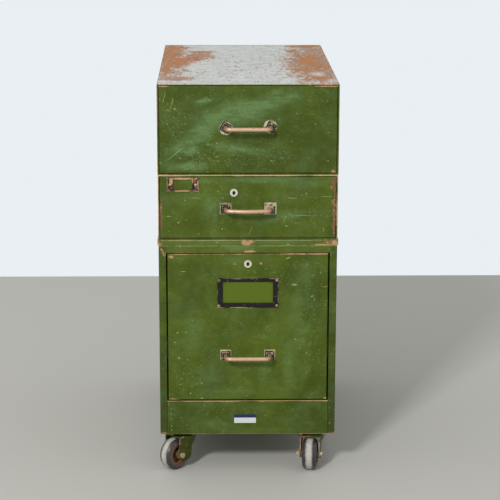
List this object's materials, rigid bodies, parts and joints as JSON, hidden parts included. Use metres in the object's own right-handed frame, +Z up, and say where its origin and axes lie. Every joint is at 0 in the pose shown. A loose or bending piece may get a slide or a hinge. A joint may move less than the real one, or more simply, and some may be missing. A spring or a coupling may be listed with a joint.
{
  "type": "small metal drawer cabinet",
  "caption": "Narrow stacked steel drawer cabinet on swivel casters: a file drawer below, two shallower drawers above, with bar handles.",
  "frame": {"origin": "on the floor at the middle of the outer box, handles included", "axes": "+Z up, drawer fronts face -Y, +X to the right as seen from the front"},
  "size_m": [0.385, 0.6916, 0.8563],
  "materials": {
    "green_paint": "worn olive green enamel on sheet steel",
    "bare_zinc": "dull grey galvanised steel with rust patches",
    "black_paint": "worn black enamel",
    "worn_handle": "copper brown metal, rubbed bare",
    "lock_nickel": "yellowed nickel plate",
    "rail_steel": "plain rolled steel",
    "roller_steel": "turned steel",
    "axle_brass": "yellow passivated steel",
    "rusty_iron": "rusty brown iron",
    "tyre_rubber": "dark rubber with a dusty tread"
  },
  "bodies": {
    "cabinet": {"lower_case_wrap": "green_paint", "lower_case_top": "green_paint", "lower_case_base": "green_paint", "lower_kick_panel": "green_paint", "lower_uprights": "green_paint", "lower_cabinet_rails": "rail_steel", "middle_base_rail": "green_paint", "middle_case_shell": "green_paint", "top_case_shell": "bare_zinc", "upper_case_backs": "green_paint", "upper_runners": "rail_steel", "stacking_bolts": "roller_steel", "caster_plates": "bare_zinc", "caster_fasteners": "axle_brass"},
    "lower_drawer": {"lower_drawer_front": "green_paint", "lower_drawer_liner": "green_paint", "lower_drawer_tray": "green_paint", "lower_drawer_rails": "rail_steel", "lower_card_holder": "black_paint", "lower_drawer_studs": "black_paint", "lower_lock_body": "lock_nickel", "lower_handle_bar": "worn_handle", "lower_handle_plates": "black_paint", "lower_handle_screws": "roller_steel"},
    "middle_drawer": {"middle_drawer_front": "green_paint", "middle_drawer_tray": "green_paint", "middle_card_holder": "black_paint", "middle_drawer_rivets": "black_paint", "middle_lock_body": "lock_nickel", "middle_handle_bar": "worn_handle", "middle_handle_plates": "black_paint", "middle_handle_screws": "roller_steel"},
    "top_drawer": {"top_drawer_front": "green_paint", "top_drawer_tray": "green_paint", "top_handle_bar": "worn_handle", "top_handle_plates": "black_paint", "top_handle_screws": "roller_steel"},
    "lower_cradle": {"lower_cradles": "rail_steel"},
    "front_roller_pair": {"lower_front_rollers": "roller_steel"},
    "rear_roller_pair": {"lower_rear_rollers": "roller_steel"},
    "lower_key_plug": {"lower_lock_plug": "lock_nickel", "lower_lock_cam": "rail_steel"},
    "middle_key_plug": {"middle_lock_plug": "lock_nickel", "middle_lock_cam": "rail_steel"},
    "front_left_swivel": {"front_left_fork": "green_paint", "front_left_axle": "axle_brass"},
    "front_left_wheel": {"front_left_hub": "rusty_iron", "front_left_tyre": "tyre_rubber"},
    "front_right_swivel": {"front_right_fork": "green_paint", "front_right_axle": "axle_brass"},
    "front_right_wheel": {"front_right_hub": "rusty_iron", "front_right_tyre": "tyre_rubber"},
    "rear_left_swivel": {"rear_left_fork": "green_paint", "rear_left_axle": "axle_brass"},
    "rear_left_wheel": {"rear_left_hub": "rusty_iron", "rear_left_tyre": "tyre_rubber"},
    "rear_right_swivel": {"rear_right_fork": "green_paint", "rear_right_axle": "axle_brass"},
    "rear_right_wheel": {"rear_right_hub": "rusty_iron", "rear_right_tyre": "tyre_rubber"}
  },
  "joints": [
    {"name": "lower_drawer_slide", "type": "slide", "parent": "cabinet", "child": "lower_drawer", "axis": [0, -1, 0], "range_m": [0, 0.48]},
    {"name": "middle_drawer_slide", "type": "slide", "parent": "cabinet", "child": "middle_drawer", "axis": [0, -1, 0], "range_m": [0, 0.43]},
    {"name": "top_drawer_slide", "type": "slide", "parent": "cabinet", "child": "top_drawer", "axis": [0, -1, 0], "range_m": [0, 0.43]},
    {"name": "lower_cradle_slide", "type": "slide", "parent": "cabinet", "child": "lower_cradle", "axis": [0, -1, 0], "range_m": [0, 0.24]},
    {"name": "front_roller_spin", "type": "hinge", "parent": "lower_cradle", "child": "front_roller_pair", "pos_m": [0, -0.16925, 0.25925], "axis": [1, 0, 0], "range_deg": [0, 2646]},
    {"name": "rear_roller_spin", "type": "hinge", "parent": "lower_cradle", "child": "rear_roller_pair", "pos_m": [0, 0.18675, 0.25925], "axis": [1, 0, 0], "range_deg": [0, 2646]},
    {"name": "lower_lock_turn", "type": "hinge", "parent": "lower_drawer", "child": "lower_key_plug", "pos_m": [0, -0.31225, 0.4701], "axis": [0, -1, 0], "range_deg": [0, 90]},
    {"name": "middle_lock_turn", "type": "hinge", "parent": "middle_drawer", "child": "middle_key_plug", "pos_m": [-0.03, -0.31225, 0.6255], "axis": [0, -1, 0], "range_deg": [0, 90]},
    {"name": "front_left_swivel_turn", "type": "hinge", "parent": "cabinet", "child": "front_left_swivel", "pos_m": [-0.142, -0.27225, 0.072], "axis": [0, 0, 1], "continuous": true},
    {"name": "front_left_wheel_spin", "type": "hinge", "parent": "front_left_swivel", "child": "front_left_wheel", "pos_m": [-0.16074, -0.29306, 0.035], "axis": [0.7431, -0.6691, 0], "continuous": true},
    {"name": "front_right_swivel_turn", "type": "hinge", "parent": "cabinet", "child": "front_right_swivel", "pos_m": [0.142, -0.27225, 0.072], "axis": [0, 0, 1], "continuous": true},
    {"name": "front_right_wheel_spin", "type": "hinge", "parent": "front_right_swivel", "child": "front_right_wheel", "pos_m": [0.1381, -0.29998, 0.035], "axis": [0.9903, -0.1392, 0], "continuous": true},
    {"name": "rear_left_swivel_turn", "type": "hinge", "parent": "cabinet", "child": "rear_left_swivel", "pos_m": [-0.142, 0.30575, 0.072], "axis": [0, 0, 1], "continuous": true},
    {"name": "rear_left_wheel_spin", "type": "hinge", "parent": "rear_left_swivel", "child": "rear_left_wheel", "pos_m": [-0.13428, 0.27883, 0.035], "axis": [0.9613, 0.2756, 0], "continuous": true},
    {"name": "rear_right_swivel_turn", "type": "hinge", "parent": "cabinet", "child": "rear_right_swivel", "pos_m": [0.142, 0.30575, 0.072], "axis": [0, 0, 1], "continuous": true},
    {"name": "rear_right_wheel_spin", "type": "hinge", "parent": "rear_right_swivel", "child": "rear_right_wheel", "pos_m": [0.13197, 0.27961, 0.035], "axis": [0.9336, -0.3584, 0], "continuous": true}
  ],
  "couplings": [
    {"joint": "lower_cradle_slide", "follows": "lower_drawer_slide", "ratio": 0.5},
    {"joint": "front_roller_spin", "follows": "lower_drawer_slide", "rad_per_m": 96.154},
    {"joint": "rear_roller_spin", "follows": "lower_drawer_slide", "rad_per_m": 96.154}
  ]
}
